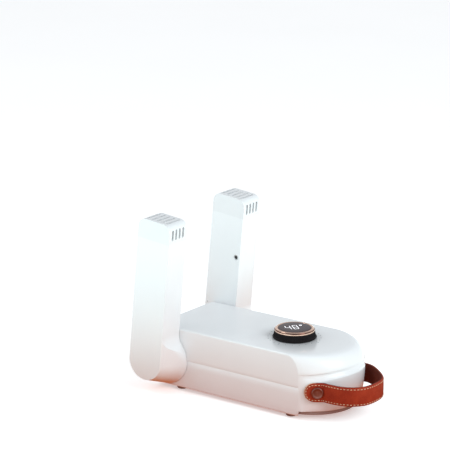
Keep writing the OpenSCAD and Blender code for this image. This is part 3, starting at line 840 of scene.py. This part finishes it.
def outlet_outline(inset):
    """The outlet's outline: the bar's width, with rounded upper corners."""
    r = OUTLET_R - inset
    x0, x1 = BAR_MID - TONGUE_R + inset, BAR_MID + TONGUE_R - inset
    low = OUTLET_Z - (1 * MM if inset else 0)
    top = ARM_L - inset
    return [(x0, low), (x1, low)] + arc(x1 - r, top - r, r, 0, 90, 12) + arc(x0 + r, top - r, r, 90, 180, 12)


def slot_outline(middle, low, high):
    """A slot with round ends that runs from low to high."""
    r = 1.5 * MM
    return arc(middle, high - r, r, 0, 180, 8) + arc(middle, low + r, r, 180, 360, 8)


def through_front(u, v, t):
    return on_arm(t, v, u)


def through_top(u, v, t):
    return on_arm(u, t, v)


def make_outlet(side, body, name):
    """The warm-air outlet on an arm's end, slotted on top and in front."""
    cap = extrude("arm_outlet_" + name + "_cap", outlet_outline(0), on_arm, 0, ARM_T)
    boolean(cap, extrude("outlet_room", outlet_outline(ARM_WALL), on_arm, ARM_WALL, ARM_T - ARM_WALL))
    for i in range(4):
        outline = slot_outline((6.5 + i * 6) * MM, OUTLET_Z + 4 * MM, OUTLET_Z + 16 * MM)
        boolean(cap, extrude("slot", outline, through_front, BAR_FRONT - 12 * MM, BAR_FRONT + 8 * MM))
    for i in range(5):
        outline = slot_outline(BAR_MID + (i - 2) * 6.5 * MM, 4 * MM, ARM_T - 4 * MM)
        boolean(cap, extrude("slot", outline, through_top, ARM_L - 8 * MM, ARM_L + 12 * MM))
    soften(clean(cap), 0.5 * MM, 3, 30)
    weight_normals(shade(stand_arm(cap, side), 30))
    dress(cap, satin, body, ["arm_outlet_" + name])


def arm_ring(name, rings, x, z, closed):
    """A ring or cap about an outward line through (x, z), from rings of (radius, distance out)."""
    steps = 40
    verts = []
    for r, out in rings:
        verts += [on_arm(px, pz, out) for px, pz in arc(x, z, r, 0, 360, steps)[:-1]]
    faces = ring_faces(len(rings), steps)
    faces += (last_to_first if closed else end_caps)(len(rings), steps)
    return make_object(name, verts, faces)


def make_vent(side, body, name):
    """A small round vent bushing in the inner face: a lipped ring, its bore filled by a dark disc as painted
    shade of the hole.
    """
    profile = [(0.62, 3.9), (0.62, 0.5), (0.72, -0.05), (0.90, -0.12), (1.0, 0.15), (1.0, 3.9)]
    rings = [(VENT_R * share, out * MM) for share, out in profile]
    ring = arm_ring("arm_vent_" + name + "_ring", rings, VENT_X, VENT_Z, True)
    dress(shade(stand_arm(ring, side), 40), steel, body, ["arm_vent_" + name])
    # A solid dark disc in the bore: painted shade of the hole, though its object is named a mesh
    plug = round_bar("arm_vent_" + name + "_mesh", VENT_X, VENT_Z, VENT_R * 0.63, 1.2 * MM, 3.6 * MM)
    dress(shade(stand_arm(plug, side)), dark_plastic, body)


def make_arm_marks(side, body, name):
    """Tiny moulded details: a plug low on the inner face, and one in the outer face's round end."""
    rings = in_mm((0.55, 0.3), (0.55, -0.02), (0.4, -0.06), (0.05, -0.06))
    plug = arm_ring("arm_inner_plug_" + name, rings, -25 * MM, 33 * MM, False)
    dress(shade(stand_arm(plug, side), 40), duct, body)
    outer = in_mm((0.9, -0.3), (0.9, -0.03), (0.7, 0.0), (0.5, -0.06), (0.05, -0.1))
    rings = [(r, ARM_T + out) for r, out in outer]
    dimple = arm_ring("arm_outer_plug_" + name, rings, -10 * MM, -6 * MM, False)
    dress(shade(stand_arm(dimple, side), 40), satin, body)


# ---- Dial and display ----


def make_dial_skirt():
    """The dial's dark skirt, with fine ribs between its flared foot and its top."""
    low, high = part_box("dial_skirt")
    foot_r, top_r, bore_r = (high.x - low.x) / 2 / MM, 22.4, DIAL_HOLE_R / MM
    ribs, per_rib = 84, 6
    steps = ribs * per_rib
    height = high.z - low.z
    # Share of the height, radius in mm, share of the ribs' full depth
    rows = [
        (0.0, bore_r, 0), (0.0, foot_r - 0.5, 0), (0.04, foot_r - 0.15, 0), (0.10, foot_r, 0),
        (0.16, foot_r - 0.2, 0), (0.22, foot_r - 0.9, 0.2), (0.28, foot_r - 1.15, 1), (0.45, 22.95, 1),
        (0.62, 22.75, 1), (0.80, 22.6, 1), (0.90, top_r + 0.1, 0.6), (0.95, top_r, 0),
        (1.0, top_r - 0.3, 0), (1.0, bore_r, 0),
    ]
    verts = []
    rib_depth = 0.45
    for share, r, rib in rows:
        for k in range(steps):
            a = 2 * math.pi * k / steps
            hollow = rib_depth * rib * (0.5 + 0.5 * math.cos(2 * math.pi * k / per_rib))
            out = (r - hollow) * MM
            verts.append(Vector((DIAL.x + out * math.cos(a), out * math.sin(a), low.z + height * share)))
    faces = ring_faces(len(rows), steps) + last_to_first(len(rows), steps)
    skirt = shade(make_object("dial_skirt_ribbed", verts, faces), 40)
    dress(skirt, ribbed_black, "dial", ["dial_skirt"])


def make_dial_trim():
    """The polished ring: a lower bead, a fine groove and a sloping lip round the window, the groove band
    darkened as a painted dark reflection.
    """
    low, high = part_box("dial_trim")
    r, h, inner = (high.x - low.x) / 2 / MM, (high.z - low.z) / MM, 18.4
    profile = in_mm(
        (inner, 0), (r - 0.5, 0), (r - 0.1, 0.12 * h), (r, 0.22 * h), (r, 0.40 * h), (r - 0.12, 0.50 * h),
        (r - 0.7, 0.56 * h), (r - 0.85, 0.60 * h), (r - 0.75, 0.66 * h), (r - 0.95, 0.78 * h),
        (r - 1.6, 0.93 * h), (r - 2.3, h), (inner + 0.9, h), (inner + 0.35, 0.96 * h), (inner, 0.86 * h),
    )
    ring = lathe("dial_ring", profile, 128, Vector((DIAL.x, 0, low.z)))
    shade(ring, 50)
    dress(ring, rose_gold, "dial", ["dial_trim"])
    # The groove band's faces take the darker metal, a painted dark reflection
    ring.data.materials.append(painted_dark_reflection)
    for face in ring.data.polygons:
        if 0.5 * h < (face.center.z - low.z) / MM < 0.8 * h:
            face.material_index = 1


def make_window():
    """The smoked window: a polished disc with a rounded rim."""
    low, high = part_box("display_window")
    r = (high.x - low.x) / 2
    top = high.z - low.z
    tiny, rim = 0.001 * MM, 0.7 * MM
    profile = [(tiny, 0), (r, 0), (r, top - rim)]
    profile += arc(r - rim, top - rim, rim, 0, 90, 8)[1:]
    profile += [(r * 0.5, top), (tiny, top)]
    disc = lathe("window_disc", profile, 128, Vector((DIAL.x, 0, low.z)))
    dress(shade(disc, 50), window, "display", ["display_window"])
    make_digits(high.z)


# Lit bars of each sign: a top, b upper left, c upper right, d middle, e lower left, f lower right, g bottom
SEGMENTS = {"4": "bcdf", "8": "abcdefg"}


def make_digits(z):
    """Two lit figures and a small degree mark, raised by a hair on the window."""
    turned = Matrix.Rotation(math.radians(50), 3, "Z")
    size, width, bar = 12.4 * MM, 5.0 * MM, 0.75 * MM
    half, gap = size / 2, 0.25 * MM
    left, right, mid = -width / 2, width / 2, half / 2
    places = {
        "a": (0, half, True), "b": (left, mid, False), "c": (right, mid, False), "d": (0, 0, True),
        "e": (left, -mid, False), "f": (right, -mid, False), "g": (0, -half, True),
    }
    verts, faces = [], []

    def add_bar(u, v, length, flat):
        """A bar with pointed ends, flat or upright, centred on (u, v) of the turned display."""
        tip = bar / 2
        end = length / 2 - gap
        neck = end - tip
        outline = [(-end, 0), (-neck, tip), (neck, tip), (end, 0), (neck, -tip), (-neck, -tip)]
        for lift in (-0.05 * MM, 0.04 * MM):
            for p, q in outline:
                du, dv = (p, q) if flat else (q, p)
                spot = turned @ Vector((u + du, v + dv, 0))
                verts.append(Vector((DIAL.x + spot.x, spot.y, z + lift)))
        faces.extend(shifted(ring_faces(2, 6) + end_caps(2, 6), len(verts) - 12))

    for sign, centre in (("4", -7.3 * MM), ("8", 0.9 * MM)):
        for key in SEGMENTS[sign]:
            u, v, flat = places[key]
            add_bar(centre + u, v, width if flat else half, flat)
    small, degree_u = 2.2 * MM, 7.9 * MM
    side = small / 2
    for u, v, flat in ((0, side, True), (0, -side, True), (-side, 0, False), (side, 0, False)):
        add_bar(degree_u + u, half - side + v, small * 1.3, flat)
    digits = make_object("display_digits", verts, faces)
    dress(digits, lit_white, "display")


# ---- Strap ----

STRAP_W = 21 * MM
LEATHER_T = 1.8 * MM
LINING_T = 1.0 * MM
STRAP_TAB = 14.5 * MM
STRAP_FREE = 6 * MM
END_STEP = 1.1 * MM
# The free loop's inner face in plan, in mm, from left to right: in the photo it leans to the right side
STRAP_LOOP = (
    (97.5, 39.6), (105, 36.6), (114, 30.2), (123.5, 22), (131, 13.6), (134.7, 5), (135.8, -4.5),
    (135.6, -14), (133.5, -23), (128.3, -30.6), (120.5, -35.9), (112, -38.7), (103.4, -39.6), (96.7, -39.6),
)
RIVET_A = math.radians(54.5)
STRAP_SEAT = CHEEK_R + 0.15 * MM
RIVET = Vector((CHEEK_CX, CHEEK_CY, 0)) + STRAP_SEAT * Vector((math.cos(RIVET_A), math.sin(RIVET_A), 0))
STRAP_Z = BASE_Z + 29.5 * MM


def strap_line():
    """Closely spaced points along the strap's inner face in plan, from its left end to its right end."""
    along = Vector((math.sin(RIVET_A), -math.cos(RIVET_A)))
    seated = [RIVET.to_2d() + along * t for t in (-STRAP_TAB, -STRAP_TAB / 2, 0, STRAP_FREE)]
    whole = seated + [Vector(point) * MM for point in STRAP_LOOP]
    whole += [Vector((p.x, -p.y)) for p in reversed(seated)]
    return [Vector(p) for p in smooth_path([tuple(p) for p in whole], 12)]


class Strap:
    """Gives places on the strap by distance along it, height across it and depth from its inner face."""

    def __init__(self):
        self.line = strap_line()
        self.reach = [0.0]
        for a, b in zip(self.line, self.line[1:]):
            self.reach.append(self.reach[-1] + (b - a).length)
        self.length = self.reach[-1]

    def at(self, s):
        """Point and outward direction in plan at a distance along the strap."""
        s = min(max(s, 0.0), self.length)
        i = 1
        while i < len(self.reach) - 1 and self.reach[i] < s:
            i += 1
        share = (s - self.reach[i - 1]) / max(self.reach[i] - self.reach[i - 1], 1e-9)
        point = self.line[i - 1].lerp(self.line[i], share)
        before = self.line[max(i - 2, 0)]
        after = self.line[min(i + 1, len(self.line) - 1)]
        along = (after - before).normalized()
        return point, Vector((-along.y, along.x))

    def place(self, s, across, depth):
        """The place at a distance along the strap, a height across it and a depth out from its inner face."""
        point, out = self.at(s)
        flat = point + out * depth
        return Vector((flat.x, flat.y, STRAP_Z + across))

    def stations(self):
        """(distance along, half width) from round end to round end."""
        r = STRAP_W / 2
        ends = [(r * (1 - math.cos(math.radians(a))), r * math.sin(math.radians(a))) for a in range(4, 90, 6)]
        steps = 150
        straight = [(r + (self.length - 2 * r) * k / steps, r) for k in range(steps + 1)]
        return ends + straight + [(self.length - s, w) for s, w in reversed(ends)]


def make_band(name, strap, t0, t1, crown, edge_r, short=0.0):
    """One layer of the strap: a band with rounded edges and a slightly crowned outer face."""
    squeeze = 1 - 2 * short / strap.length
    across = [-1, -0.985, -0.94, -0.7, -0.35, 0, 0.35, 0.7, 0.94, 0.985, 1]
    verts = []
    for s, w in strap.stations():
        section = []
        for v in across:
            fall = edge_r * max(0.0, (abs(v) - 0.93) / 0.07) ** 2
            section.append((v * w, t1 - fall - crown * v * v))
        for v in reversed(across):
            fall = 0.5 * edge_r * max(0.0, (abs(v) - 0.93) / 0.07) ** 2
            section.append((v * w, t0 + fall))
        verts += [strap.place(short + s * squeeze, u, d) for u, d in section]
    n = 2 * len(across)
    rings = len(verts) // n
    faces = ring_faces(rings, n) + end_caps(rings, n)
    return shade(make_object(name, verts, faces), 50)


def make_stitches(strap):
    """Two rows of dashed stitching that follow the strap's edges and its round ends."""
    margin, pitch, length, r = 2.0 * MM, 3.4 * MM, 2.3 * MM, 0.3 * MM
    end_r = STRAP_W / 2
    path_r = end_r - margin
    quarter = math.pi / 2 * path_r
    run = strap.length - 2 * end_r
    total = 2 * quarter + run

    def on_row(d, side):
        """Distance along the strap and height across it, at a distance along the row."""
        if d < quarter:
            a = d / path_r
            return end_r - path_r * math.cos(a), side * path_r * math.sin(a)
        if d > quarter + run:
            a = (total - d) / path_r
            return strap.length - end_r + path_r * math.cos(a), side * path_r * math.sin(a)
        return end_r + d - quarter, side * path_r

    outer = LINING_T + LEATHER_T
    verts, faces = [], []
    sides_n, rings_n = 8, 7
    for side in (-1, 1):
        count = int(total / pitch)
        for k in range(count):
            middle = (k + 0.5) * total / count
            for i in range(rings_n):
                share = -1 + 2 * i / (rings_n - 1)
                swell = math.sqrt(max(0.0, 1 - share**4)) + 0.03
                s, u = on_row(middle + share * length / 2, side)
                s2, u2 = on_row(middle + share * length / 2 + 0.05 * MM, side)
                here = strap.place(s, u, outer)
                ahead = (strap.place(s2, u2, outer) - here).normalized()
                out = strap.at(s)[1].to_3d()
                cross = ahead.cross(out).normalized()
                for q in range(sides_n):
                    a = 2 * math.pi * q / sides_n
                    verts.append(here + (cross * math.cos(a) * 1.25 + out * (math.sin(a) - 0.1)) * r * swell)
            base = len(verts) - sides_n * rings_n
            faces += shifted(ring_faces(rings_n, sides_n) + end_caps(rings_n, sides_n), base)
    return shade(make_object("strap_stitching", verts, faces), 60)


def make_strap():
    strap = Strap()
    outer = make_band("strap_outer", strap, LINING_T, LINING_T + LEATHER_T, 0.25 * MM, 0.5 * MM, END_STEP)
    inner = make_band("strap_inner", strap, 0, LINING_T, 0, 0.15 * MM)
    hollow_for_rivets(outer)
    dress(outer, saddle, "base", ["leather_strap"])
    inner.data.materials.append(lining)
    inner.data.materials.append(cream_edge)
    # The lining's edge faces near the tabs are coloured cream
    tab_end = RIVET.x - 1 * MM
    for face in inner.data.polygons:
        edge = abs(face.normal.z) > 0.4 or face.normal.x < -0.5 or face.normal.x > 0.3
        if edge and face.center.x < tab_end:
            face.material_index = 1
    dress(inner, lining, "base", ["strap_lining"])
    dress(make_stitches(strap), cream_thread, "base")
    for side in (RIGHT, LEFT):
        make_rivet(side)


def hollow_for_rivets(obj):
    """Presses the leather in a little round each rivet."""
    for v in obj.data.vertices:
        for side in (RIGHT, LEFT):
            centre = Vector((RIVET.x, side * RIVET.y, STRAP_Z))
            out = Vector((math.cos(RIVET_A), side * math.sin(RIVET_A), 0))
            away = v.co - centre
            depth = away.dot(out)
            if depth < LINING_T + 0.5 * LEATHER_T:
                continue
            distance = (away - out * depth).length
            v.co -= out * 0.35 * MM * math.exp(-((distance / (6.5 * MM)) ** 4))


def make_rivet(side):
    """A flat-headed rivet with a rounded rim."""
    name = "strap_rivet_" + SIDES[side]
    seat = (LINING_T + LEATHER_T) / MM
    top, r, tiny = seat + 2.3, 6.4, 0.001
    profile = in_mm(
        (tiny, -1.2), (2, -1.2), (2, seat - 0.4), (r - 0.5, seat - 0.4), (r - 0.05, seat), (r, seat + 0.4),
        (r - 0.03, top - 0.7), (r - 0.2, top - 0.3), (r - 0.55, top - 0.05), (r - 0.95, top),
        (r - 1.3, top - 0.08), (r - 1.6, top - 0.2), (r * 0.4, top - 0.24), (tiny, top - 0.24),
    )
    obj = lathe(name + "_head", profile, 72, Vector((0, 0, 0)))
    turn = Matrix.Rotation(side * RIVET_A, 4, "Z") @ Matrix.Rotation(math.pi / 2, 4, "Y")
    obj.data.transform(Matrix.Translation((RIVET.x, side * RIVET.y, STRAP_Z)) @ turn)
    dress(shade(obj, 50), rivet_metal, "base", [name])


# ---- Room, light and camera ----

FLOOR_GLOW = 0.42
FOOTPRINT = (0.11, 0.055, 1.0)
BOUNCE_STOPS = ((0.0, (0.27, 0.045, 0.0)), (0.10, (0.30, 0.10, 0.02)), (0.32, (0.82, 0.99, 1.0)))
BOUNCE = 1.8
SKY_LOW = (0.92, 0.96, 0.98)
SKY_HIGH = (0.36, 0.37, 0.39)
SKY = 1.0
FRONT_POWER = 20
NEAR_POWER = 3.5
EDGE_POWER = 4


def make_stage():
    """A plain pale floor. The light it throws back is warm and dim beside the casing, white further out."""
    half = 9.0
    verts = [Vector((x * half, y * half, 0)) for x, y in ((-1, -1), (1, -1), (1, 1), (-1, 1))]
    floor = make_object("floor", verts, [(0, 1, 2, 3)])
    m = Nodes("floor_paint")
    m.colour(m.ramp(m.noise(3, 2), (0.3, (0.88, 0.88, 0.88)), (0.7, (0.90, 0.90, 0.90))))
    m.set(Roughness=0.9, Specular_IOR_Level=0.1, Emission_Color=(1, 1, 1, 1), Emission_Strength=FLOOR_GLOW)

    def step(operation, source, *value):
        node = m.add("ShaderNodeVectorMath", operation=operation)
        m.link(source, node.inputs[0])
        if value:
            node.inputs[1].default_value = value
        return node.outputs["Value" if operation == "LENGTH" else "Vector"]

    beyond = step("SUBTRACT", step("ABSOLUTE", m.place), *FOOTPRINT)
    away = step("LENGTH", step("MAXIMUM", beyond, 0, 0, 0))
    bounce = m.add("ShaderNodeEmission")
    m.link(m.ramp(away, *BOUNCE_STOPS), bounce.inputs["Color"])
    bounce.inputs["Strength"].default_value = BOUNCE
    mix = m.add("ShaderNodeMixShader")
    m.link(m.add("ShaderNodeLightPath").outputs["Is Camera Ray"], mix.inputs[0])
    m.link(bounce.outputs[0], mix.inputs[1])
    m.link(m.shader.outputs[0], mix.inputs[2])
    m.link(mix.outputs[0], m.tree.nodes["Material Output"].inputs["Surface"])
    floor.data.materials.append(m.material)


def make_light(name, place, target, size, power, colour):
    data = bpy.data.lights.new(name, "AREA")
    data.shape = "RECTANGLE"
    data.size, data.size_y = size
    data.energy = power
    data.color = colour
    obj = new_object(name, data)
    obj.location = place
    obj.rotation_euler = (Vector(target) - Vector(place)).to_track_quat("-Z", "Y").to_euler()


def make_lights():
    """A sky brighter low down than overhead, two soft boxes, and a third that lights the top edges."""
    world = bpy.data.worlds.new("room")
    bpy.context.scene.world = world
    world.use_nodes = True
    tree = world.node_tree
    place = tree.nodes.new("ShaderNodeTexCoord")
    split = tree.nodes.new("ShaderNodeSeparateXYZ")
    ramp = tree.nodes.new("ShaderNodeValToRGB")
    ramp.color_ramp.elements[0].color = (*SKY_LOW, 1)
    ramp.color_ramp.elements[1].color = (*SKY_HIGH, 1)
    tree.links.new(place.outputs["Generated"], split.inputs[0])
    tree.links.new(split.outputs["Z"], ramp.inputs["Fac"])
    background = tree.nodes["Background"]
    tree.links.new(ramp.outputs["Color"], background.inputs["Color"])
    background.inputs["Strength"].default_value = SKY
    make_light("front_softbox", (1.7, -0.2, 1.15), (0, 0, 0.05), (1.2, 0.9), FRONT_POWER, (0.93, 0.98, 1.0))
    make_light("near_softbox", (-0.3, -1.9, 0.8), (0, 0, 0.05), (1.4, 0.9), NEAR_POWER, (0.95, 0.98, 1.0))
    make_light("edge_softbox", (-1.0, -0.75, 1.6), (0, -0.06, 0.08), (0.9, 0.3), EDGE_POWER, (1.0, 1.0, 1.0))
    bpy.context.scene.view_settings.view_transform = "Standard"


def make_camera():
    data = bpy.data.cameras.new("camera")
    camera = new_object("camera", data)
    data.sensor_width = 36
    data.lens = 174.1
    camera.location = (CORNER_X + 1.2448, -1.8587, 0.8188)
    camera.rotation_euler = (math.radians(90 - 15.35), 0, math.radians(36.6))
    bpy.context.scene.camera = camera


make_camera()
make_lights()
make_stage()
paint_cad_nodes()
dress(make_upper_shell(), white, "base", ["upper_shell"])
dress(make_lower_shell(), white, "base", ["lower_shell"])
dress(make_bumper(), white, "base", ["front_bumper"])
dress(make_base_plate(), taupe, "base", ["base_plate"])
for foot in ("foot_front_right", "foot_front_left", "foot_rear_right", "foot_rear_left"):
    dress(make_foot(foot), rubber, "base", [foot])
make_dial_skirt()
make_dial_trim()
make_window()
make_strap()
for side in (RIGHT, LEFT):
    make_arm(side)
